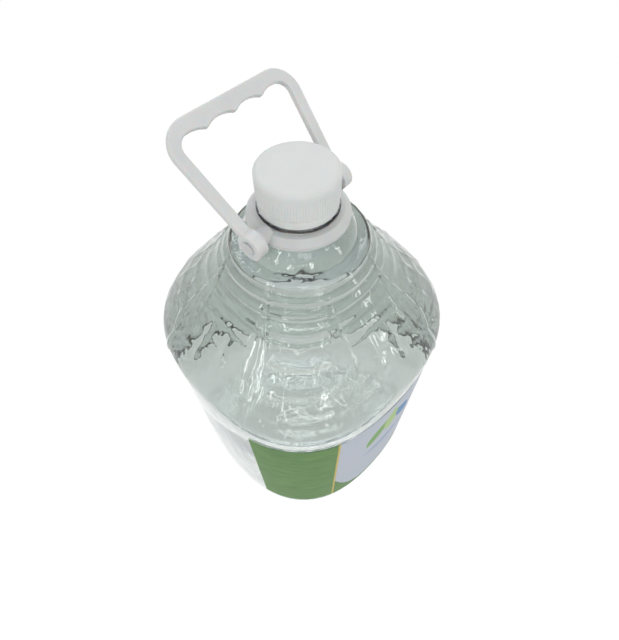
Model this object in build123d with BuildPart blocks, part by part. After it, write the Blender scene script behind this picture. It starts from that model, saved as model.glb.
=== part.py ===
"""Five-litre vinegar bottle with a screw cap and a swing-over carrying handle.

Millimetres, +Z up. The origin is the middle of the base, on the neck's axis. The label's
front panel faces -Y, and the handle leans back, towards +Y.
"""
from math import cos, radians, sin
import os

from build123d import *

# ---- driving dimensions ----------------------------------------------------------------------
# bottle body
body_radius = 91.0            # mean radius of the rounded square, at the bead above the label
body_squareness = 0.033       # how far the corners stand out and the flats in, as a share
side_height = 152.5           # floor to the top of the label panel
bead_height = 13.2            # the smooth turn between the label panel and the shoulder
panel_recess = 0.8            # the label panel lies this far inside the bead
heel_radius = 12.0            # rounding between the side and the floor
body_wall = 1.0
shoulder_height = 72.8        # bead to the ledge under the neck dome
ledge_radius = 39.2           # round outer edge of the ledge
ledge_height = 2.4
ledge_width = 6.6
rim_margin = 0.4              # the dome's root lies this far inside the shoulder's top edge
base_dome_radius = 59.0       # push-up in the middle of the floor
base_dome_height = 9.0

# neck
dome_height = 13.2            # ledge to the foot of the straight neck
neck_radius = 18.9
neck_wall = 1.9
collar_seat_height = 5.9      # straight neck below the support flange
flange_overhang = 3.1         # support flange beyond the neck
flange_thickness = 1.7
neck_finish_height = 20.8     # straight neck above the flange
thread_depth = 0.5            # how far the thread ridges stand out
thread_width = 1.2
thread_levels = (6.5, 9.5, 12.5)   # ridges above the flange

# relief on the shoulder
blade_depth = 0.9             # eight raised blades, two beside each corner of the body
blade_width = 9.0
blade_inner_margin = 2.8      # ledge to the inner end of a blade
blade_outer_margin = 11.0     # outer end of a blade to the body radius
blade_spread = 21.0           # degrees from a corner of the body to the blade beside it
step_depth = 0.9              # rings round the shoulder, under the ledge
step_width = 3.2
step_drops = (7.0, 14.0)      # below the ledge

# contents
headspace_below_ledge = 1.0   # the vinegar's surface lies this far below the ledge
liquid_clearance = 0.05

# cap and its tamper band
cap_overhang = 2.7            # cap's outside beyond the neck
cap_wall = 1.45
cap_top = 1.6
cap_edge_radius = 2.5
cap_groove_count = 96
cap_groove_radius = 0.25
cap_groove_margin = 4.0       # plain skirt above the grooves
band_overhang = 2.3           # band's outside beyond the neck
band_wall = 1.2
band_height = 4.9
band_lift = 1.0               # support flange to band
band_gap = 0.35               # band to cap

# carrying handle: collar on the neck
collar_reach = 9.0            # collar's outside beyond the neck
collar_height = 5.2
collar_bevel = 3.2
collar_clearance = 0.3
collar_skin = 1.8             # walls left round the channel in its underside
collar_channel_depth = 3.2
ear_radius = 4.6
pin_radius = 3.0
pin_head_radius = 3.7
pin_head_length = 1.0
handle_turn = 5.0             # degrees the handle stands round the neck from the label's front

# carrying handle: bail
pivot_reach = 5.8             # collar's outside to the middle of an eye
pivot_drop = 4.5              # pivot below the top of the flange
eye_radius = 7.4
strap_width = 6.3             # along the pivot axis
strap_thickness = 4.2
strap_splay = 0.116           # how far each arm leans outwards above its eye, per unit of length
bail_length = 65.7            # pivot to the outside of the grip
grip_depth = 7.5              # at the hollow of a finger rest
finger_count = 4
finger_depth = 2.4
bail_outer_corner = 14.5
bail_inner_corner = 6.5
finger_tip_radius = 1.4
bail_edge_radius = 1.0
bail_lean = 44.7              # degrees from upright, towards the back
running_clearance = 0.05      # pin in its eye
side_clearance = 0.3          # eye to ear, and eye to pin head

# label
label_bottom = 16.0
label_top_margin = 2.5        # label's top edge to the top of its panel
label_half_angle = 65.0       # degrees each way from the front
label_thickness = 0.2
label_gap = 0.15

# ---- heights and places worked out from them -------------------------------------------------
shoulder_start = side_height + bead_height
ledge_level = shoulder_start + shoulder_height
dome_start = ledge_level + ledge_height
neck_start = dome_start + dome_height
flange_bottom = neck_start + collar_seat_height
flange_top = flange_bottom + flange_thickness
neck_top = flange_top + neck_finish_height
fill_level = ledge_level - headspace_below_ledge
pivot_level = flange_top - pivot_drop
label_top = side_height - label_top_margin
flange_radius = neck_radius + flange_overhang
cap_radius = neck_radius + cap_overhang
band_radius = neck_radius + band_overhang
collar_radius = neck_radius + collar_reach
half_separation = collar_radius + pivot_reach
blade_inner_radius = ledge_radius + blade_inner_margin
blade_outer_radius = body_radius - blade_outer_margin
corner_angles = (45, 135, 225, 315)
heel_angles = (0, 22, 45, 67, 90)      # stations round the heel's quarter turn
# stations up the straight side, close together where it meets the heel and the bead
side_stations = (0.015, 0.05, 0.12, 0.25, 0.4, 0.6, 0.8, 0.92, 0.98, 1.0)

# The shoulder's shape: share of its height, and share of the way from ledge to body radius.
shoulder_shape = (
    (0.00, 1.000),
    (0.07, 0.985),
    (0.14, 0.940),
    (0.25, 0.825),
    (0.40, 0.635),
    (0.55, 0.435),
    (0.70, 0.260),
    (0.85, 0.115),
    (1.00, 0.000),
)


def level_section(level, radius, squareness):
    """The body's outline on a level plane: a smooth circle pushed out at four corners."""
    outline = []
    for angle in range(0, 360, 15):
        reach = radius * (1 - squareness * cos(radians(4 * angle)))
        outline.append((reach * cos(radians(angle)), reach * sin(radians(angle))))
    with BuildSketch(Plane.XY.offset(level)) as section:
        with BuildLine():
            Spline(*outline, periodic=True)
        make_face()
    return section.sketch


def shoulder_radius(height_share):
    """Mean radius of the shoulder at a share of its height, between its stations."""
    lower = [station for station in shoulder_shape if station[0] <= height_share][-1]
    upper = [station for station in shoulder_shape if station[0] >= height_share][0]
    rise = max(upper[0] - lower[0], 1e-9)
    radius_share = lower[1] + (upper[1] - lower[1]) * (height_share - lower[0]) / rise
    return ledge_radius + (body_radius - ledge_radius) * radius_share


def shoulder_section(height_share, inset):
    """The shoulder's outline at a share of its height; it grows rounder towards the neck."""
    level = shoulder_start + height_share * shoulder_height
    squareness = body_squareness * (1 - height_share)
    return level_section(level, shoulder_radius(height_share) - inset, squareness)


def base_dome(inset):
    """The ball whose top is the push-up in the floor."""
    ball_radius = (base_dome_radius**2 + base_dome_height**2) / (2 * base_dome_height)
    with BuildPart(Plane.XY.offset(base_dome_height - ball_radius)) as ball:
        Sphere(ball_radius + inset)
    return ball.part


def vessel(inset, straight_neck_radius):
    """The bottle's closed form from floor to neck top, taken in by inset all round."""
    panel = body_radius - panel_recess - inset
    heel = heel_radius - inset
    rim = ledge_radius - rim_margin - inset
    dome_root = ledge_level - ledge_height
    dome_foot = (rim - ledge_width, dome_start - inset)
    neck_foot = (straight_neck_radius, neck_start - inset)
    mouth = (straight_neck_radius, neck_top + inset)
    with BuildPart() as form:
        for angle in heel_angles:
            rise = heel * (1 - cos(radians(angle)))
            pull_in = heel * (1 - sin(radians(angle)))
            add(level_section(inset + rise, panel - pull_in, body_squareness))
        for share in side_stations:
            add(level_section(heel_radius + share * (side_height - heel_radius), panel, body_squareness))
        for rise, swell in ((0.25, 0.6), (0.55, 1.0)):
            level = side_height + rise * bead_height
            add(level_section(level, panel + swell * panel_recess, body_squareness))
        for height_share, _ in shoulder_shape:
            add(shoulder_section(height_share, inset))
        loft()
        with BuildSketch(Plane.XZ):
            with BuildLine():
                Polyline((0, dome_root), (rim, dome_root), (rim, ledge_level), dome_foot)
                Spline(dome_foot, neck_foot, tangents=[(-0.35, 1), (-1, 0.3)])
                Polyline(neck_foot, mouth, (0, neck_top + inset), (0, dome_root))
            make_face()
        revolve(axis=Axis.Z)
        add(base_dome(inset), mode=Mode.SUBTRACT)
    return form.part


def ring(inner_radius, outer_radius, bottom, height):
    """A plain ring round the neck's axis."""
    with BuildPart() as hoop:
        with BuildSketch(Plane.XY.offset(bottom)):
            Circle(outer_radius)
            Circle(inner_radius, mode=Mode.SUBTRACT)
        extrude(amount=height)
    return hoop.part


# ---- bottle: blow-moulded shell --------------------------------------------------------------
# Blades: a shoulder skin that stands blade_depth proud, kept only inside the blades' outlines.
with BuildPart() as blades:
    for height_share, _ in shoulder_shape:
        add(shoulder_section(height_share, -blade_depth))
    loft()
    with BuildSketch(Plane.XY.offset(shoulder_start)):
        for corner in corner_angles:
            for side in (-1, 1):
                middle = (blade_inner_radius + blade_outer_radius) / 2
                with PolarLocations(middle, 1, start_angle=corner + side * blade_spread):
                    Ellipse((blade_outer_radius - blade_inner_radius) / 2, blade_width / 2)
    extrude(amount=shoulder_height, mode=Mode.INTERSECT)

cavity = vessel(body_wall, neck_radius - neck_wall)

with BuildPart() as bottle:
    add(vessel(0, neck_radius))
    add(blades.part)
    for drop in step_drops:
        with BuildSketch(Plane.XZ):
            with Locations((shoulder_radius(1 - drop / shoulder_height), ledge_level - drop)):
                Ellipse(step_width / 2, step_depth)
        revolve(axis=Axis.Z)
    add(ring(neck_radius - neck_wall / 2, flange_radius, flange_bottom, flange_thickness))
    for level in thread_levels:
        with BuildSketch(Plane.XZ):
            with Locations((neck_radius, flange_top + level)):
                Ellipse(thread_depth, thread_width / 2)
        revolve(axis=Axis.Z)
    add(cavity, mode=Mode.SUBTRACT)
bottle.part.label = "bottle"

# ---- vinegar: fills the bottle up to its level -----------------------------------------------
with BuildPart() as vinegar:
    add(vessel(body_wall + liquid_clearance, neck_radius - neck_wall - liquid_clearance))
    split(bisect_by=Plane.XY.offset(fill_level), keep=Keep.BOTTOM)
vinegar.part.label = "vinegar"

# ---- tamper band and cap ---------------------------------------------------------------------
band_bottom = flange_top + band_lift
cap_bottom = band_bottom + band_height + band_gap
cap_roof = neck_top + cap_top

with BuildPart() as tamper_band:
    add(ring(band_radius - band_wall, band_radius, band_bottom, band_height))
    chamfer(tamper_band.edges().group_by(Axis.Z)[-1].sort_by(SortBy.RADIUS)[-1], length=0.4)
tamper_band.part.label = "tamper_band"

with BuildPart() as cap:
    with BuildSketch(Plane.XY.offset(cap_bottom)):
        Circle(cap_radius)
    extrude(amount=cap_roof - cap_bottom)
    fillet(cap.edges().group_by(Axis.Z)[-1], radius=cap_edge_radius)
    with BuildSketch(Plane.XY.offset(cap_bottom)):
        Circle(cap_radius - cap_wall)
    extrude(amount=neck_top - cap_bottom, mode=Mode.SUBTRACT)
    with BuildSketch(Plane.XY.offset(cap_bottom)):
        with PolarLocations(cap_radius, cap_groove_count):
            Circle(cap_groove_radius)
    extrude(amount=cap_roof - cap_bottom - cap_groove_margin, mode=Mode.SUBTRACT)
cap.part.label = "cap"

# ---- handle collar: snapped round the neck under the flange, with a pin on each side ---------
collar_bore = neck_radius + collar_clearance
collar_top = flange_bottom - collar_clearance
collar_bottom = collar_top - collar_height
turn = radians(handle_turn)
pivot_axis = Vector(cos(turn), sin(turn), 0)
eye_inner = half_separation - strap_width / 2
eye_outer = half_separation + strap_width / 2


def across_pivot(distance, side):
    """Plane square to the pivot axis, a distance out from the neck on one side, facing out."""
    outward = pivot_axis * side
    return Plane(origin=Vector(0, 0, pivot_level) + outward * distance, z_dir=outward)


with BuildPart() as handle_collar:
    with BuildSketch(Plane.XZ):
        with BuildLine():
            Polyline(
                (collar_bore, collar_bottom),
                (collar_bore + collar_skin, collar_bottom),
                (collar_bore + collar_skin, collar_bottom + collar_channel_depth),
                (collar_radius - collar_skin, collar_bottom + collar_channel_depth / 2),
                (collar_radius - collar_skin, collar_bottom),
                (collar_radius, collar_bottom),
                (collar_radius, collar_top - collar_bevel),
                (collar_radius - collar_bevel, collar_top),
                (collar_bore, collar_top),
                close=True,
            )
        make_face()
    revolve(axis=Axis.Z)
    for side in (1, -1):
        ear_start = flange_radius + 3 * collar_clearance
        ear_end = eye_inner - side_clearance
        with BuildSketch(across_pivot(ear_start, side)):
            Circle(ear_radius)
        extrude(amount=ear_end - ear_start)
        with BuildSketch(across_pivot(ear_end, side)):
            Circle(pin_radius)
        extrude(amount=strap_width + 2 * side_clearance)
        with BuildSketch(across_pivot(eye_outer + side_clearance, side)):
            Circle(pin_head_radius)
        extrude(amount=pin_head_length)
handle_collar.part.label = "handle_collar"

# ---- handle bail: a flat strap with an eye at each end and finger rests under the grip -------
lean = radians(bail_lean)
bail_up = Vector(-sin(turn) * sin(lean), cos(turn) * sin(lean), cos(lean))
bail_plane = Plane(
    origin=(0, 0, pivot_level), x_dir=pivot_axis, z_dir=pivot_axis.cross(bail_up)
)
ridge_line = bail_length - grip_depth - finger_depth    # tips of the ridges between fingers
grip_half_width = eye_outer + strap_splay * (bail_length - eye_radius)
gap_half_width = eye_inner + strap_splay * (ridge_line - eye_radius)
finger_pitch = 2 * gap_half_width / finger_count

with BuildPart() as handle_bail:
    with BuildSketch(bail_plane):
        with BuildLine():
            Polyline(
                (-eye_outer, 0),
                (-eye_outer, eye_radius),
                (-grip_half_width, bail_length),
                (grip_half_width, bail_length),
                (eye_outer, eye_radius),
                (eye_outer, 0),
                close=True,
            )
        make_face()
        fillet(vertices().group_by(Axis.Y)[-1], radius=bail_outer_corner)
        with BuildSketch(mode=Mode.SUBTRACT):
            with BuildLine():
                Polyline(
                    (gap_half_width, ridge_line),
                    (eye_inner, eye_radius),
                    (eye_inner, 0),
                    (-eye_inner, 0),
                    (-eye_inner, eye_radius),
                    (-gap_half_width, ridge_line),
                )
                for finger in range(finger_count):
                    start = finger * finger_pitch - gap_half_width
                    ThreePointArc(
                        (start, ridge_line),
                        (start + finger_pitch / 2, ridge_line + finger_depth),
                        (start + finger_pitch, ridge_line),
                    )
            make_face()
            on_ridge_line = vertices().filter_by_position(Axis.Y, ridge_line - 0.01, ridge_line + 0.01)
            corners_and_tips = on_ridge_line.sort_by(Axis.X)
            fillet([corners_and_tips[0], corners_and_tips[-1]], radius=bail_inner_corner)
            on_ridge_line = vertices().filter_by_position(Axis.Y, ridge_line - 0.01, ridge_line + 0.01)
            inside = gap_half_width - bail_inner_corner
            fillet(on_ridge_line.filter_by_position(Axis.X, -inside, inside), radius=finger_tip_radius)
    extrude(amount=strap_thickness / 2, both=True)
    flat_faces = handle_bail.faces().filter_by(Axis((0, 0, 0), bail_plane.z_dir))
    fillet(flat_faces.edges(), radius=bail_edge_radius)
    for side in (1, -1):
        with BuildSketch(across_pivot(eye_inner, side)):
            Circle(eye_radius)
        extrude(amount=strap_width)
        with BuildSketch(across_pivot(eye_inner, side)):
            Circle(pin_radius + running_clearance)
        extrude(amount=strap_width, mode=Mode.SUBTRACT)
handle_bail.part.label = "handle_bail"

# ---- label: printed film on the front of the label panel -------------------------------------
with BuildPart() as label:
    film_inside = body_radius - panel_recess + label_gap
    add(level_section(label_bottom, film_inside + label_thickness, body_squareness))
    extrude(amount=label_top - label_bottom)
    add(level_section(label_bottom, film_inside, body_squareness))
    extrude(amount=label_top - label_bottom, mode=Mode.SUBTRACT)
    with BuildSketch(Plane.XY.offset(label_bottom)):
        reach = 3 * body_radius
        side_x = reach * sin(radians(label_half_angle))
        side_y = -reach * cos(radians(label_half_angle))
        with BuildLine():
            Polyline((0, 0), (-side_x, side_y), (-side_x, -reach), (side_x, -reach), (side_x, side_y), close=True)
        make_face()
    extrude(amount=label_top - label_bottom, mode=Mode.INTERSECT)
label.part.label = "label"

# ---- hand-over -------------------------------------------------------------------------------
pieces = (bottle, vinegar, cap, tamper_band, handle_collar, handle_bail, label)
os.makedirs("parts", exist_ok=True)
for piece in pieces:
    export_step(piece.part, f"parts/{piece.part.label}.step")
    print(piece.part.label, "solids", len(piece.part.solids()), "volume", round(piece.part.volume / 1000, 2), "ml")
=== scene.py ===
"""Looks of the five-litre vinegar bottle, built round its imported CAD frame.

The clear bottle, the vinegar and the label are modelled here; the cap, its band and the
handle keep their CAD shape and get their plastics. Lengths are metres in the frame, and
millimetres wherever a name ends in _mm.
"""
import bpy
from math import atan2, cos, degrees, exp, pi, radians, sin
from mathutils import Matrix, Vector


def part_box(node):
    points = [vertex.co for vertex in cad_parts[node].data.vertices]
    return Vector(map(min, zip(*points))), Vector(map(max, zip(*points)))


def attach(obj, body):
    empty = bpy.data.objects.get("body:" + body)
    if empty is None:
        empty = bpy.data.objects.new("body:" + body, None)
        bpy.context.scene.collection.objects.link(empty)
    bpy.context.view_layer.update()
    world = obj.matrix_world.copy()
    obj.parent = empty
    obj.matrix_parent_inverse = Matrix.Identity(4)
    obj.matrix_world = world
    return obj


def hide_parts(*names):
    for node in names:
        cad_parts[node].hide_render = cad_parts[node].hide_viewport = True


MM = 0.001
MATHS = "ShaderNodeMath"
MIX = "ShaderNodeMix"

# ---- the object's own sizes, as in the CAD source ------------------------------------------
BODY_RADIUS_MM = 91.0
SQUARENESS = 0.033
SIDE_MM = 152.5
BEAD_MM = 13.2
BEAD_START_MM = SIDE_MM - 1.5
BEAD_TURN_MM = 0.62 * BEAD_MM      # height over which the panel swells out to the bead
PANEL_RECESS_MM = 0.8
HEEL_MM = 12.0
WALL_MM = 1.0
SHOULDER_MM = 72.8
LEDGE_RADIUS_MM = 39.2
LEDGE_RISE_MM = 2.4
LEDGE_WIDTH_MM = 6.6
BASE_DOME_RADIUS_MM = 59.0
BASE_DOME_RISE_MM = 9.0
DOME_MM = 13.2
NECK_RADIUS_MM = 18.9
NECK_WALL_MM = 1.9
COLLAR_SEAT_MM = 5.9
FLANGE_RADIUS_MM = 22.0
FLANGE_MM = 1.7
NECK_FINISH_MM = 20.8
THREAD_MM = 0.5
THREAD_LEVELS_MM = (6.5, 9.5, 12.5)

SHOULDER_START_MM = SIDE_MM + BEAD_MM
LEDGE_MM = SHOULDER_START_MM + SHOULDER_MM
DOME_START_MM = LEDGE_MM + LEDGE_RISE_MM
NECK_START_MM = DOME_START_MM + DOME_MM
FLANGE_START_MM = NECK_START_MM + COLLAR_SEAT_MM
FLANGE_TOP_MM = FLANGE_START_MM + FLANGE_MM
NECK_TOP_MM = FLANGE_TOP_MM + NECK_FINISH_MM

SHOULDER_SHAPE = (
    (0.00, 1.000), (0.07, 0.985), (0.14, 0.940), (0.25, 0.825), (0.40, 0.635),
    (0.55, 0.435), (0.70, 0.260), (0.85, 0.115), (1.00, 0.000),
)

# the label, its angles in degrees to each side of the front
LABEL_BOTTOM_MM = 16.0
LABEL_TOP_MM = 150.0
LABEL_HALF_ANGLE = 65.0
FRONT_HALF_ANGLE = 30.0
GOLD_LINE_ANGLE = 0.9
FILM_MM = 0.2
FILM_GAP_MM = 0.12
HILL_FOOT_MM = 20.0                # height of the green field in the middle of the front
HILL_RISE_MM = 42.0                # how much higher it stands at the gold lines
LEAVES = (                         # ink, place across and up, half length, half width, tilt
    ("6FA34B", -15.0, 116.0, 17.0, 7.0, 62.0),
    ("A9C77F", -1.0, 122.0, 19.0, 7.5, 90.0),
    ("4C86B8", 13.0, 116.0, 17.0, 7.0, 118.0),
    ("4C86B8", 0.0, 84.0, 26.0, 2.0, 0.0),
    ("8FA9C4", 0.0, 76.0, 18.0, 1.5, 0.0),
)

# sizes of the finishes' patterns, along X, Y and Z where there are three
WALL_WAVE_MM = (11.1, 11.1, 35.7)  # a blown wall waves more slowly along its stretch
STREAK_MM = (16.7, 16.7, 2.38)
CAP_GRAIN_MM = 1.11                # the real grain is some tenths, too fine to show
CAP_CLOUD_MM = 16.7
HANDLE_CLOUD_MM = 12.5

# relief on the shoulder
BLADE_ANGLES = [corner + side * 21.0 for corner in (45, 135, 225, 315) for side in (-1, 1)]
BLADE_TOP_DROP_MM = 8.0
BLADE_FOOT_DROP_MM = 55.0
BLADE_HALF_ANGLE = 6.8
BLADE_DEPTH_MM = 1.3
STEPS_MM = (                       # drop below the ledge, half width and height of each step
    (6.5, 1.6, 0.85), (13.0, 1.6, 0.85), (20.5, 1.9, 0.80),
    (29.0, 2.0, 0.75), (38.5, 2.2, 0.70), (48.0, 2.4, 0.50),
)
PANEL_EDGE_ANGLE = 24.0
PANEL_EDGE_MM = 0.9
PANEL_EDGE_HALF_WIDTH_MM = 1.3
RIB_ANGLES = (6.5, 39.0)
RIB_TOP_DROP_MM = 30.0
RIB_LENGTH_MM = 26.0
RIB_HALF_WIDTH_MM = 2.2
RIB_MM = 0.7


# ---- small helpers ---------------------------------------------------------------------------
def srgb(hex_colour):
    """An sRGB hex colour as linear RGBA."""
    channels = [int(hex_colour[i:i + 2], 16) / 255 for i in (0, 2, 4)]
    linear = [c / 12.92 if c <= 0.04045 else ((c + 0.055) / 1.055) ** 2.4 for c in channels]
    return (*linear, 1.0)


def add_node(material, kind, settings=None, inputs=None, links=None):
    """One node: its settings, its plain input values, and what feeds its inputs."""
    tree = material.node_tree
    made = tree.nodes.new(kind)
    for name, value in (settings or {}).items():
        setattr(made, name, value)
    for name, value in (inputs or {}).items():
        made.inputs[name].default_value = value
    for name, source in (links or {}).items():
        tree.links.new(source, made.inputs[name])
    return made


def new_material(name):
    """An empty node material and its Principled shader, wired to the output."""
    material = bpy.data.materials.new(name)
    material.use_nodes = True
    material.node_tree.nodes.clear()
    shader = add_node(material, "ShaderNodeBsdfPrincipled")
    add_node(material, "ShaderNodeOutputMaterial", links={"Surface": shader.outputs["BSDF"]})
    return material, shader


def let_lamps_through(material, shader, colour):
    """Clear stuff: rays from lamps pass straight through it, tinted, to what stands behind."""
    path = add_node(material, "ShaderNodeLightPath")
    passing = add_node(material, "ShaderNodeBsdfTransparent", inputs={"Color": srgb(colour)})
    both = add_node(material, "ShaderNodeMixShader", links={"Fac": path.outputs["Is Shadow Ray"]})
    material.node_tree.links.new(shader.outputs["BSDF"], both.inputs[1])
    material.node_tree.links.new(passing.outputs["BSDF"], both.inputs[2])
    output = next(n for n in material.node_tree.nodes if n.type == "OUTPUT_MATERIAL")
    material.node_tree.links.new(both.outputs["Shader"], output.inputs["Surface"])


def start_piece(name):
    """Names the primitive just added and returns it."""
    piece = bpy.context.active_object
    piece.name = name
    piece.data.name = name
    return piece


def deselect_all():
    if bpy.context.mode != "OBJECT":
        bpy.ops.object.mode_set(mode="OBJECT")
    bpy.ops.object.select_all(action="DESELECT")


def finish_piece(piece, material, smooth_angle=None):
    """Object mode, material on, shading smooth, place kept in the mesh."""
    deselect_all()
    piece.select_set(True)
    bpy.context.view_layer.objects.active = piece
    bpy.ops.object.transform_apply(location=True, rotation=True, scale=True)
    if smooth_angle is None:
        bpy.ops.object.shade_smooth()
    else:
        bpy.ops.object.shade_smooth_by_angle(angle=radians(smooth_angle))
    piece.data.materials.clear()
    piece.data.materials.append(material)
    return piece


# ---- the bottle's form -----------------------------------------------------------------------
def shoulder_radius_mm(share):
    """Mean radius of the shoulder at a share of its height, smooth through its stations."""
    stations = ((-0.07, 1.0),) + SHOULDER_SHAPE + ((1.15, -0.10),)
    for before, low, high, after in zip(stations, stations[1:], stations[2:], stations[3:]):
        if share <= high[0]:
            break
    t = (share - low[0]) / (high[0] - low[0])
    span = high[0] - low[0]
    slope_low = (high[1] - before[1]) / (high[0] - before[0]) * span
    slope_high = (after[1] - low[1]) / (after[0] - low[0]) * span
    blend = (
        (2 * t**3 - 3 * t**2 + 1) * low[1]
        + (t**3 - 2 * t**2 + t) * slope_low
        + (3 * t**2 - 2 * t**3) * high[1]
        + (t**3 - t**2) * slope_high
    )
    return LEDGE_RADIUS_MM + (BODY_RADIUS_MM - LEDGE_RADIUS_MM) * blend


def body_outline_mm(inset, shoulder_steps):
    """Points (radius, height) from the middle of the base up to the ledge, taken in by inset."""
    panel = BODY_RADIUS_MM - PANEL_RECESS_MM - inset
    heel = HEEL_MM - inset
    points = []
    ball = (BASE_DOME_RADIUS_MM**2 + BASE_DOME_RISE_MM**2) / (2 * BASE_DOME_RISE_MM)
    ball_middle = BASE_DOME_RISE_MM - ball
    rim = ((ball + inset) ** 2 - (inset - ball_middle) ** 2) ** 0.5
    for step in range(9):
        radius = rim * step / 8
        points.append((radius, ball_middle + ((ball + inset) ** 2 - radius**2) ** 0.5))
    for step in range(8):
        angle = pi / 2 * step / 7
        points.append((panel - heel * (1 - sin(angle)), inset + heel * (1 - cos(angle))))
    for step in range(1, 7):
        points.append((panel, HEEL_MM + (BEAD_START_MM - HEEL_MM) * step / 6))
    for step in range(1, 9):
        turn = (1 - cos(pi * step / 8)) / 2
        points.append((panel + PANEL_RECESS_MM * turn, BEAD_START_MM + BEAD_TURN_MM * step / 8))
    for step in range(1, 4):
        start = BEAD_START_MM + BEAD_TURN_MM
        level = start + (SHOULDER_START_MM - start) * step / 4
        points.append((panel + PANEL_RECESS_MM, level))
    for step in range(shoulder_steps + 1):
        share = step / shoulder_steps
        points.append((shoulder_radius_mm(share) - inset, SHOULDER_START_MM + share * SHOULDER_MM))
    return points


def dome_outline_mm(inset, neck_radius):
    """Points from the ledge over the neck dome to the foot of the straight neck."""
    rim = LEDGE_RADIUS_MM - inset
    foot = rim - LEDGE_WIDTH_MM
    points = [(rim - 1.2, LEDGE_MM + 0.25 * LEDGE_RISE_MM)]
    points.append((foot + 1.6, DOME_START_MM - inset - 0.25 * LEDGE_RISE_MM))
    rise = NECK_START_MM - DOME_START_MM
    low, high = radians(8), radians(82)
    for step in range(17):
        angle = radians(8 + 74 * step / 16)
        across = (cos(angle) - cos(high)) / (cos(low) - cos(high))
        up = (sin(angle) - sin(low)) / (sin(high) - sin(low))
        radius = neck_radius + (foot - neck_radius) * across
        points.append((radius, DOME_START_MM - inset + rise * up))
    return points


def shell_outline_mm():
    """The clear shell's whole closed section: up the outside, over the mouth, down the inside."""
    bore = NECK_RADIUS_MM - NECK_WALL_MM
    outside = body_outline_mm(0.0, 84) + dome_outline_mm(0.0, NECK_RADIUS_MM)
    outside += [
        (NECK_RADIUS_MM, NECK_START_MM + 1.0),
        (NECK_RADIUS_MM, FLANGE_START_MM),
        (FLANGE_RADIUS_MM - 0.5, FLANGE_START_MM),
        (FLANGE_RADIUS_MM, FLANGE_START_MM + 0.4),
        (FLANGE_RADIUS_MM, FLANGE_TOP_MM - 0.4),
        (FLANGE_RADIUS_MM - 0.5, FLANGE_TOP_MM),
        (NECK_RADIUS_MM, FLANGE_TOP_MM),
    ]
    for level in THREAD_LEVELS_MM:
        outside += [
            (NECK_RADIUS_MM, FLANGE_TOP_MM + level - 0.6),
            (NECK_RADIUS_MM + THREAD_MM, FLANGE_TOP_MM + level),
            (NECK_RADIUS_MM, FLANGE_TOP_MM + level + 0.6),
        ]
    outside += [(NECK_RADIUS_MM, NECK_TOP_MM), (bore, NECK_TOP_MM)]
    inside = body_outline_mm(WALL_MM, 44) + dome_outline_mm(WALL_MM, bore)
    return outside + inside[::-1]


def relief_mm(angle, radius, level):
    """How far the shoulder's relief stands out at an angle (degrees), mean radius and height."""
    drop = LEDGE_MM - level
    if drop < 0 or level < SHOULDER_START_MM:
        return 0.0
    nearest = min(abs((angle - blade + 180) % 360 - 180) for blade in BLADE_ANGLES)
    length = (drop - BLADE_TOP_DROP_MM) / (BLADE_FOOT_DROP_MM - BLADE_TOP_DROP_MM)
    height = 0.0
    open_shoulder = 1.0
    if 0 < length < 1:
        # a blade opens from a point at the top and closes in a round end at its foot
        half = BLADE_HALF_ANGLE * min(1.0, 1.5 * length**0.7) * min(1.0, (6 * (1 - length)) ** 0.5)
        across = nearest / half
        if across < 1:
            height = BLADE_DEPTH_MM * (0.45 + 0.55 * across**2) * min(1.0, 4.0 * (1 - across))
            open_shoulder = 0.25
    # a low crease runs down the shoulder half-way between one blade and the next flat
    from_corner = abs((angle + 45) % 90 - 45)
    crease = radians(from_corner - PANEL_EDGE_ANGLE) * radius / PANEL_EDGE_HALF_WIDTH_MM
    beside_blade = 0.3 if 0 < length < 1 else 1
    height += PANEL_EDGE_MM * exp(-(crease**2)) * min(1.0, drop / 10) * beside_blade
    # short upright ribs low on the shoulder
    rib_length = (drop - RIB_TOP_DROP_MM) / RIB_LENGTH_MM
    if 0 < rib_length < 1:
        for rib in RIB_ANGLES:
            aside = radians(from_corner - rib) * radius / RIB_HALF_WIDTH_MM
            ends = min(1.0, 5 * rib_length, 5 * (1 - rib_length))
            height += RIB_MM * exp(-(aside**2)) * ends
    for index, (step, half_width, depth) in enumerate(STEPS_MM):
        # each step lies a little lower on the flats than at the corners
        place = step * (1 + 0.10 * (1 - cos(radians(4 * angle))) * min(1, index / 2))
        rise = exp(-(((drop - place) / half_width) ** 2)) * depth
        height += rise * (1.0 if index < 2 else open_shoulder)
    return height


def shape_vessel(mesh, with_relief):
    """Turns a round lathe form into the rounded square body with its relief."""
    for vertex in mesh.vertices:
        x, y, level = vertex.co / MM
        radius = (x * x + y * y) ** 0.5
        if radius < 1e-6 or level > LEDGE_MM:
            continue
        angle = degrees(atan2(y, x))
        share = max(0.0, (level - SHOULDER_START_MM) / SHOULDER_MM)
        edge = min(1.0, radius / (BASE_DOME_RADIUS_MM + 10))
        reach = radius * (1 - SQUARENESS * edge * (1 - share) * cos(radians(4 * angle)))
        if with_relief:
            reach += relief_mm(angle, radius, level)
        vertex.co.x *= reach / radius
        vertex.co.y *= reach / radius


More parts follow.
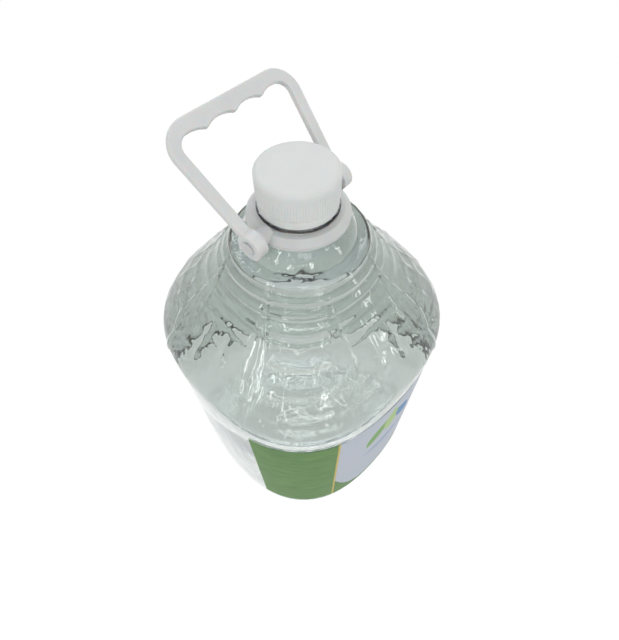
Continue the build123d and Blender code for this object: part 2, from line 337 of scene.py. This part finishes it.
def lathe(name, outline, segments):
    """A closed form turned about the neck's axis from its section, by extruding and spinning."""
    deselect_all()
    start = (outline[0][0] * MM, 0.0, outline[0][1] * MM)
    bpy.ops.mesh.primitive_plane_add(size=0.001, location=start)
    piece = start_piece(name)
    bpy.ops.object.mode_set(mode="EDIT")
    bpy.ops.mesh.merge(type="CENTER")
    here = outline[0]
    for point in outline[1:]:
        move = ((point[0] - here[0]) * MM, 0.0, (point[1] - here[1]) * MM)
        bpy.ops.mesh.extrude_vertices_move(TRANSFORM_OT_translate={"value": move})
        here = point
    bpy.ops.mesh.select_all(action="SELECT")
    bpy.ops.mesh.spin(steps=segments, angle=2 * pi, center=(0, 0, 0), axis=(0, 0, 1))
    bpy.ops.mesh.select_all(action="SELECT")
    bpy.ops.mesh.remove_doubles(threshold=1e-6)
    bpy.ops.mesh.dissolve_degenerate(threshold=1e-7)
    bpy.ops.mesh.select_all(action="SELECT")
    bpy.ops.mesh.normals_make_consistent(inside=False)
    bpy.ops.object.mode_set(mode="OBJECT")
    bpy.ops.object.transform_apply(location=True, rotation=True, scale=True)
    return piece


# ---- materials -------------------------------------------------------------------------------
def clear_pet():
    """Blow-moulded PET: water-clear, glossy, with the faint waviness of a stretched wall."""
    material, shader = new_material("clear_PET_blow_moulded")
    place = add_node(material, "ShaderNodeTexCoord")
    drawn = add_node(
        material, "ShaderNodeMapping", inputs={"Scale": [1 / (size * MM) for size in WALL_WAVE_MM]},
        links={"Vector": place.outputs["Object"]},
    )
    wave = add_node(
        material, "ShaderNodeTexNoise",
        inputs={"Scale": 1.0, "Detail": 2.0, "Roughness": 0.45},
        links={"Vector": drawn.outputs["Vector"]},
    )
    bump = add_node(
        material, "ShaderNodeBump",
        inputs={"Strength": 0.55, "Distance": 0.002},
        links={"Height": wave.outputs["Fac"]},
    )
    shader.inputs["Base Color"].default_value = srgb("FAFCFB")
    shader.inputs["Transmission Weight"].default_value = 1.0
    shader.inputs["IOR"].default_value = 1.5
    shader.inputs["Roughness"].default_value = 0.02
    material.node_tree.links.new(bump.outputs["Normal"], shader.inputs["Normal"])
    let_lamps_through(material, shader, "F4F8F6")
    return material


def pale_vinegar():
    """White vinegar: a clear liquid with the slightest grey-green cast."""
    material, shader = new_material("white_vinegar")
    shader.inputs["Base Color"].default_value = srgb("E3EAE7")
    shader.inputs["Transmission Weight"].default_value = 1.0
    shader.inputs["IOR"].default_value = 1.34
    shader.inputs["Roughness"].default_value = 0.0
    let_lamps_through(material, shader, "EEF3EF")
    return material


def cap_plastic():
    """Injection-moulded polypropylene, white: soft satin sheen with a very fine texture."""
    material, shader = new_material("white_polypropylene_moulded")
    place = add_node(material, "ShaderNodeTexCoord")
    grain = add_node(
        material, "ShaderNodeTexNoise",
        inputs={"Scale": 1 / (CAP_GRAIN_MM * MM), "Detail": 3.0},
        links={"Vector": place.outputs["Object"]},
    )
    cloud = add_node(
        material, "ShaderNodeTexNoise",
        inputs={"Scale": 1 / (CAP_CLOUD_MM * MM), "Detail": 2.0},
        links={"Vector": place.outputs["Object"]},
    )
    tone = add_node(
        material, MIX, {"data_type": "RGBA"}, {"A": srgb("DDE1DF"), "B": srgb("E6E8E7")},
        {"Factor": cloud.outputs["Fac"]},
    )
    bump = add_node(
        material, "ShaderNodeBump",
        inputs={"Strength": 0.08, "Distance": 0.0003},
        links={"Height": grain.outputs["Fac"]},
    )
    shader.inputs["Roughness"].default_value = 0.42
    shader.inputs["Subsurface Weight"].default_value = 0.2
    shader.inputs["Subsurface Scale"].default_value = 0.002
    material.node_tree.links.new(tone.outputs["Result"], shader.inputs["Base Color"])
    material.node_tree.links.new(bump.outputs["Normal"], shader.inputs["Normal"])
    return material


def handle_plastic(name, clearness):
    """Natural polyethylene: milky, lets some light through, smooth from a polished mould."""
    material, shader = new_material(name)
    place = add_node(material, "ShaderNodeTexCoord")
    cloud = add_node(
        material, "ShaderNodeTexNoise",
        inputs={"Scale": 1 / (HANDLE_CLOUD_MM * MM), "Detail": 3.0},
        links={"Vector": place.outputs["Object"]},
    )
    tone = add_node(
        material, MIX, {"data_type": "RGBA"}, {"A": srgb("D6DAD9"), "B": srgb("E2E4E3")},
        {"Factor": cloud.outputs["Fac"]},
    )
    shader.inputs["Roughness"].default_value = 0.35
    shader.inputs["Subsurface Weight"].default_value = 0.3
    shader.inputs["Subsurface Scale"].default_value = 0.004
    shader.inputs["Transmission Weight"].default_value = clearness
    shader.inputs["IOR"].default_value = 1.51
    material.node_tree.links.new(tone.outputs["Result"], shader.inputs["Base Color"])
    return material


def label_film():
    """Printed film: satin ink fields in green, gold and pale lilac white, and plain leaf shapes."""
    material, shader = new_material("printed_label_film")
    place = add_node(material, "ShaderNodeTexCoord")
    split = add_node(material, "ShaderNodeSeparateXYZ", links={"Vector": place.outputs["Object"]})

    # how far round from the front and how high each spot lies
    towards = add_node(material, MATHS, {"operation": "MULTIPLY"}, {1: -1.0}, {0: split.outputs["Y"]})
    angle = add_node(
        material, MATHS, {"operation": "ARCTAN2"},
        links={0: split.outputs["X"], 1: towards.outputs[0]},
    )
    turn = add_node(material, MATHS, {"operation": "MULTIPLY"}, {1: 180 / pi}, {0: angle.outputs[0]})
    across_mm = add_node(
        material, MATHS, {"operation": "MULTIPLY"}, {1: BODY_RADIUS_MM}, {0: angle.outputs[0]}
    )
    level_mm = add_node(
        material, MATHS, {"operation": "MULTIPLY"}, {1: 1 / MM}, {0: split.outputs["Z"]}
    )
    away = add_node(material, MATHS, {"operation": "ABSOLUTE"}, links={0: turn.outputs[0]})

    # green ink with long streaks lying round the bottle
    stretched = add_node(
        material, "ShaderNodeMapping",
        inputs={"Scale": [1 / (size * MM) for size in STREAK_MM]},
        links={"Vector": place.outputs["Object"]},
    )
    streak = add_node(
        material, "ShaderNodeTexNoise", inputs={"Scale": 1.0, "Detail": 4.0, "Roughness": 0.6},
        links={"Vector": stretched.outputs["Vector"]},
    )
    centred = add_node(
        material, MATHS, {"operation": "SUBTRACT"}, {1: 0.5}, {0: streak.outputs["Fac"]}
    )
    contrast = add_node(
        material, MATHS, {"operation": "MULTIPLY_ADD"}, {1: 2.4, 2: 0.5}, {0: centred.outputs[0]}
    )
    green = add_node(
        material, MIX, {"data_type": "RGBA"}, {"A": srgb("3D6F22"), "B": srgb("5F8F3D")},
        {"Factor": contrast.outputs[0]},
    )

    # the pale front, with a green field that rises to its sides
    share = add_node(
        material, MATHS, {"operation": "DIVIDE"}, {1: FRONT_HALF_ANGLE}, {0: away.outputs[0]}
    )
    steep = add_node(material, MATHS, {"operation": "POWER"}, {1: 4.0}, {0: share.outputs[0]})
    hill_mm = add_node(
        material, MATHS, {"operation": "MULTIPLY_ADD"}, {1: HILL_RISE_MM, 2: HILL_FOOT_MM},
        {0: steep.outputs[0]},
    )
    in_hill = add_node(
        material, MATHS, {"operation": "LESS_THAN"},
        links={0: level_mm.outputs[0], 1: hill_mm.outputs[0]},
    )
    print_so_far = add_node(
        material, MIX, {"data_type": "RGBA"}, {"A": srgb("BCC3CF")},
        {"Factor": in_hill.outputs[0], "B": green.outputs["Result"]},
    )

    for ink, across, level, length, width, tilt in LEAVES:
        # an ellipse drawn to a point at both ends, turned by its tilt
        c, s = cos(radians(tilt)), sin(radians(tilt))
        dx = add_node(
            material, MATHS, {"operation": "SUBTRACT"}, {1: across}, {0: across_mm.outputs[0]}
        )
        dz = add_node(material, MATHS, {"operation": "SUBTRACT"}, {1: level}, {0: level_mm.outputs[0]})
        turned = []
        for share_x, share_z in ((c / length, s / length), (-s / width, c / width)):
            part = add_node(material, MATHS, {"operation": "MULTIPLY"}, {1: share_x}, {0: dx.outputs[0]})
            whole = add_node(
                material, MATHS, {"operation": "MULTIPLY_ADD"}, {1: share_z},
                {0: dz.outputs[0], 2: part.outputs[0]},
            )
            turned.append(whole.outputs[0])
        square = add_node(
            material, MATHS, {"operation": "MULTIPLY"}, links={0: turned[0], 1: turned[0]}
        )
        reach = add_node(material, MATHS, {"operation": "SUBTRACT"}, {0: 1.0}, {1: square.outputs[0]})
        aside = add_node(material, MATHS, {"operation": "ABSOLUTE"}, links={0: turned[1]})
        inside = add_node(
            material, MATHS, {"operation": "GREATER_THAN"},
            links={0: reach.outputs[0], 1: aside.outputs[0]},
        )
        print_so_far = add_node(
            material, MIX, {"data_type": "RGBA"}, {"B": srgb(ink)},
            {"Factor": inside.outputs[0], "A": print_so_far.outputs["Result"]},
        )

    # green panels to each side of the front, and a gold line where they meet it
    beside = add_node(
        material, MATHS, {"operation": "GREATER_THAN"}, {1: FRONT_HALF_ANGLE}, {0: away.outputs[0]}
    )
    print_so_far = add_node(
        material, MIX, {"data_type": "RGBA"},
        links={
            "Factor": beside.outputs[0],
            "A": print_so_far.outputs["Result"],
            "B": green.outputs["Result"],
        },
    )
    from_edge = add_node(
        material, MATHS, {"operation": "SUBTRACT"}, {1: FRONT_HALF_ANGLE}, {0: away.outputs[0]}
    )
    edge_gap = add_node(material, MATHS, {"operation": "ABSOLUTE"}, links={0: from_edge.outputs[0]})
    on_line = add_node(
        material, MATHS, {"operation": "LESS_THAN"}, {1: GOLD_LINE_ANGLE / 2},
        {0: edge_gap.outputs[0]},
    )
    print_so_far = add_node(
        material, MIX, {"data_type": "RGBA"}, {"B": srgb("C9B25A")},
        {"Factor": on_line.outputs[0], "A": print_so_far.outputs["Result"]},
    )
    bump = add_node(
        material, "ShaderNodeBump", inputs={"Strength": 0.05, "Distance": 0.0005},
        links={"Height": streak.outputs["Fac"]},
    )
    shader.inputs["Roughness"].default_value = 0.45
    shader.inputs["Specular IOR Level"].default_value = 0.2
    material.node_tree.links.new(print_so_far.outputs["Result"], shader.inputs["Base Color"])
    material.node_tree.links.new(bump.outputs["Normal"], shader.inputs["Normal"])
    return material


# ---- pieces ----------------------------------------------------------------------------------
def make_bottle_shell():
    """The clear shell with its shoulder relief, neck flange and thread."""
    shell = lathe("bottle_shell", shell_outline_mm(), 384)
    shape_vessel(shell.data, with_relief=True)
    return finish_piece(shell, clear_pet(), smooth_angle=50)


def make_vinegar():
    """The vinegar up to its level, reaching half-way into the wall, with a meniscus."""
    outline = [p for p in body_outline_mm(WALL_MM / 2, 84) if p[1] < FILL_MM - 0.8]
    edge = outline[-1][0] - 0.5
    outline += [(edge, FILL_MM + 0.35), (edge - 1.2, FILL_MM - 0.1), (edge - 3.5, FILL_MM - 0.35)]
    outline += [((edge - 3.5) * share, FILL_MM - 0.35) for share in (0.75, 0.5, 0.25, 0.0)]
    vinegar = lathe("vinegar_fill", outline, 360)
    shape_vessel(vinegar.data, with_relief=True)
    return finish_piece(vinegar, pale_vinegar(), smooth_angle=60)


def make_label():
    """The film round the front of the label panel."""
    deselect_all()
    bpy.ops.mesh.primitive_grid_add(x_subdivisions=130, y_subdivisions=24, size=1.0)
    film = start_piece("label_film")
    for vertex in film.data.vertices:
        angle = -90 + 2 * vertex.co.x * LABEL_HALF_ANGLE
        level = LABEL_BOTTOM_MM + (vertex.co.y + 0.5) * (LABEL_TOP_MM - LABEL_BOTTOM_MM)
        reach = BODY_RADIUS_MM - PANEL_RECESS_MM + FILM_GAP_MM
        reach *= 1 - SQUARENESS * cos(radians(4 * angle))
        spot = (reach * cos(radians(angle)), reach * sin(radians(angle)), level)
        vertex.co = Vector(spot) * MM
    bpy.ops.object.mode_set(mode="EDIT")
    bpy.ops.mesh.select_all(action="SELECT")
    bpy.ops.mesh.normals_make_consistent(inside=False)
    bpy.ops.object.mode_set(mode="OBJECT")
    outward = film.data.polygons[0].normal.dot(film.data.polygons[0].center) > 0
    thickness = film.modifiers.new("film_thickness", "SOLIDIFY")
    thickness.thickness = FILM_MM * MM
    thickness.offset = 1.0 if outward else -1.0
    bpy.ops.object.modifier_apply(modifier=thickness.name)
    return finish_piece(film, label_film(), smooth_angle=40)


# ---- stage, lights and camera ----------------------------------------------------------------
SURROUND_LIGHT = 0.55              # how much the surround lights the object
THROUGH_LIGHT = 0.63               # how bright the surround is when seen through clear stuff
FLOOR_GLOW = 1.1                   # strength at which the floor shows white
FLOOR_GLOW_SHARE = 0.8             # the rest of the floor takes light and keeps the shadow


def seen_rays(material):
    """1 for a ray from the eye, straight, mirrored or bent by glass, and 0 for a lighting ray.

    The second number is 1 only for the mirrored and bent ones, the third only for the bent ones.
    """
    path = add_node(material, "ShaderNodeLightPath")
    through = add_node(
        material, MATHS, settings={"operation": "MAXIMUM"},
        links={0: path.outputs["Is Glossy Ray"], 1: path.outputs["Is Transmission Ray"]},
    )
    seen = add_node(
        material, MATHS, settings={"operation": "MAXIMUM"},
        links={0: path.outputs["Is Camera Ray"], 1: through.outputs[0]},
    )
    return seen.outputs[0], through.outputs[0], path.outputs["Is Transmission Ray"]


def make_floor():
    """A plain pale floor that shows white and keeps the shadow."""
    deselect_all()
    bpy.ops.mesh.primitive_plane_add(size=8.0, location=(0, 0, 0))
    floor = start_piece("floor")
    material, shader = new_material("pale_floor")
    shader.inputs["Base Color"].default_value = srgb("F2F2F2")
    shader.inputs["Roughness"].default_value = 0.9
    seen, _, bent = seen_rays(material)
    bright = add_node(
        material, "ShaderNodeMapRange",
        inputs={"To Min": FLOOR_GLOW, "To Max": FLOOR_GLOW * THROUGH_LIGHT},
        links={"Value": bent},
    )
    glow = add_node(
        material, "ShaderNodeEmission", links={"Strength": bright.outputs["Result"]}
    )
    share = add_node(
        material, MATHS, settings={"operation": "MULTIPLY"},
        inputs={1: FLOOR_GLOW_SHARE}, links={0: seen},
    )
    both = add_node(material, "ShaderNodeMixShader", links={"Fac": share.outputs[0]})
    material.node_tree.links.new(shader.outputs["BSDF"], both.inputs[1])
    material.node_tree.links.new(glow.outputs["Emission"], both.inputs[2])
    output = next(n for n in material.node_tree.nodes if n.type == "OUTPUT_MATERIAL")
    material.node_tree.links.new(both.outputs["Shader"], output.inputs["Surface"])
    floor.data.materials.append(material)


def make_surround():
    """A plain surround: white behind the bottle, cream to lilac where the bottle shows it."""
    world = bpy.data.worlds.new("studio")
    bpy.context.scene.world = world
    world.use_nodes = True
    background = world.node_tree.nodes["Background"]
    place = add_node(world, "ShaderNodeTexCoord")
    split = add_node(world, "ShaderNodeSeparateXYZ", links={"Vector": place.outputs["Generated"]})
    height = add_node(
        world, "ShaderNodeMapRange", inputs={"From Min": 0.15, "From Max": 0.75},
        links={"Value": split.outputs["Z"]},
    )
    seen, through, bent = seen_rays(world)
    tone = add_node(
        world, MIX, {"data_type": "RGBA"}, {"A": srgb("FFFDF0"), "B": srgb("DFE0F6")},
        {"Factor": height.outputs["Result"]},
    )
    colour = add_node(
        world, MIX, {"data_type": "RGBA"}, {"A": srgb("FFFFFF")},
        {"Factor": through, "B": tone.outputs["Result"]},
    )
    world.node_tree.links.new(colour.outputs["Result"], background.inputs["Color"])
    strength = add_node(
        world, MATHS, settings={"operation": "MULTIPLY_ADD"},
        inputs={1: 1.0 - SURROUND_LIGHT, 2: SURROUND_LIGHT}, links={0: seen},
    )
    dimmed = add_node(
        world, MATHS, settings={"operation": "MULTIPLY_ADD"},
        inputs={1: THROUGH_LIGHT - 1.0}, links={0: bent, 2: strength.outputs[0]},
    )
    world.node_tree.links.new(dimmed.outputs[0], background.inputs["Strength"])


def add_softbox(name, place, size, power, aim=(0, 0, 0.15)):
    """One area lamp facing the bottle."""
    deselect_all()
    bpy.ops.object.light_add(type="AREA", location=place)
    lamp = bpy.context.active_object
    lamp.name = name
    lamp.data.shape = "RECTANGLE"
    lamp.data.size, lamp.data.size_y = size
    lamp.data.energy = power
    lamp.rotation_euler = (Vector(aim) - Vector(place)).to_track_quat("-Z", "Y").to_euler()


CAMERA_TURN = radians(-42.6)       # how far round from the label's front the view stands
CAMERA_DISTANCE_MM = 166.0
CAMERA_HEIGHT_MM = 413.1
CAMERA_PITCH = radians(52.303)
CAMERA_YAW = 0.032726
CAMERA_ROLL = -0.007361
FOCAL_SHARE = 430.165 / 640        # focal length as a share of the frame's long side


def make_camera():
    """A high three-quarter view from the label's left."""
    data = bpy.data.cameras.new("camera")
    camera = bpy.data.objects.new("camera", data)
    bpy.context.scene.collection.objects.link(camera)
    data.sensor_width = 36.0
    data.lens = 36.0 * FOCAL_SHARE
    data.shift_y = -0.0675
    data.clip_start = 0.01
    heading = Matrix.Rotation(CAMERA_TURN - CAMERA_YAW, 4, "Z")
    tilt = Matrix.Rotation(pi / 2 - CAMERA_PITCH, 4, "X")
    roll = Matrix.Rotation(CAMERA_ROLL, 4, "Z")
    turn = Matrix.Rotation(CAMERA_TURN, 4, "Z")
    place = turn @ Vector((0, -CAMERA_DISTANCE_MM * MM, CAMERA_HEIGHT_MM * MM))
    camera.matrix_world = Matrix.Translation(place) @ heading @ tilt @ roll
    bpy.context.scene.camera = camera


# ---- put together ----------------------------------------------------------------------------
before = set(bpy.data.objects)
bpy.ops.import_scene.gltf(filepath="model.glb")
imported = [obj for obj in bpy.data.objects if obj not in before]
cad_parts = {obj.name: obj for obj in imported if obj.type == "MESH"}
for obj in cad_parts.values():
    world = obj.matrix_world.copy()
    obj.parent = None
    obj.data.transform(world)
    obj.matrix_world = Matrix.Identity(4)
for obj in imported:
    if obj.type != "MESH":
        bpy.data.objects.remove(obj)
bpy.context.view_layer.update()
FILL_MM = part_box("vinegar")[1][2] / MM

bpy.context.scene.view_settings.view_transform = "Standard"
make_camera()
make_floor()
make_surround()
add_softbox("key", (-0.5, -0.9, 1.4), (0.7, 0.7), 2.2)
add_softbox("strip_left", (-1.0, -0.1, 0.8), (0.06, 0.9), 1.1)
add_softbox("strip_right", (0.5, -0.9, 0.7), (0.06, 0.9), 1.1)
add_softbox("strip_back", (0.35, 0.8, 1.1), (0.9, 0.06), 1.3)
add_softbox("window", (-0.25, -0.35, 1.3), (0.10, 0.16), 0.6)
add_softbox("strip_front_left", (-0.98, -0.50, 0.36), (0.03, 0.40), 0.26)
add_softbox("strip_front", (-0.42, -1.02, 0.36), (0.03, 0.40), 0.26)
add_softbox("strip_level", (-0.78, -0.84, 0.52), (0.8, 0.02), 0.3)
add_softbox("ceiling", (0.30, 0.33, 1.15), (0.30, 0.30), 0.9)

shell = make_bottle_shell()
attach(shell, "bottle_body")
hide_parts("bottle")

vinegar = make_vinegar()
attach(vinegar, "bottle_body")
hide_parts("vinegar")

film = make_label()
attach(film, "bottle_body")
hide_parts("label")


def dress(node, material):
    """Gives a CAD node its finish."""
    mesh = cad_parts[node].data
    mesh.materials.clear()
    mesh.materials.append(material)


white_plastic = cap_plastic()
dress("cap", white_plastic)
dress("tamper_band", white_plastic)
dress("handle_collar", handle_plastic("natural_polyethylene_collar", 0.12))
dress("handle_bail", handle_plastic("natural_polyethylene_handle", 0.0))
